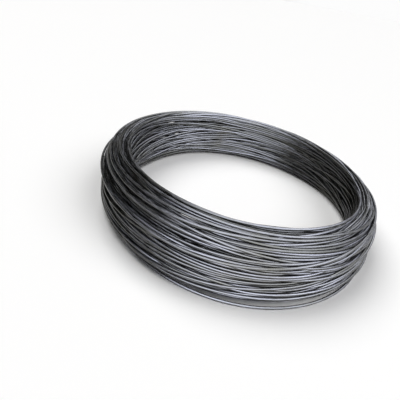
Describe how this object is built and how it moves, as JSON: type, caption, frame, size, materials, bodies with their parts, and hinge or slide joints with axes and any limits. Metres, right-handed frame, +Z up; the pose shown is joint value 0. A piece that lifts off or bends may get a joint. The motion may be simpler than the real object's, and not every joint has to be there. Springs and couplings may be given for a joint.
{
  "type": "coil of wire rod",
  "caption": "Coil of bare steel wire rod: turns wound close into a ring with a wide bore, lying flat on one end as raw stock for drawing or straightening.",
  "frame": {"origin": "on the floor, at the centre of the bore", "axes": "+Z up along the axis of the coil; X and Y level, in any direction, as the coil is round"},
  "size_m": [0.68, 0.68, 0.1336],
  "materials": {
    "rod": "dark bare steel, dull, with bright streaks"
  },
  "bodies": {
    "root": {"wire_coil": "rod"}
  },
  "joints": []
}
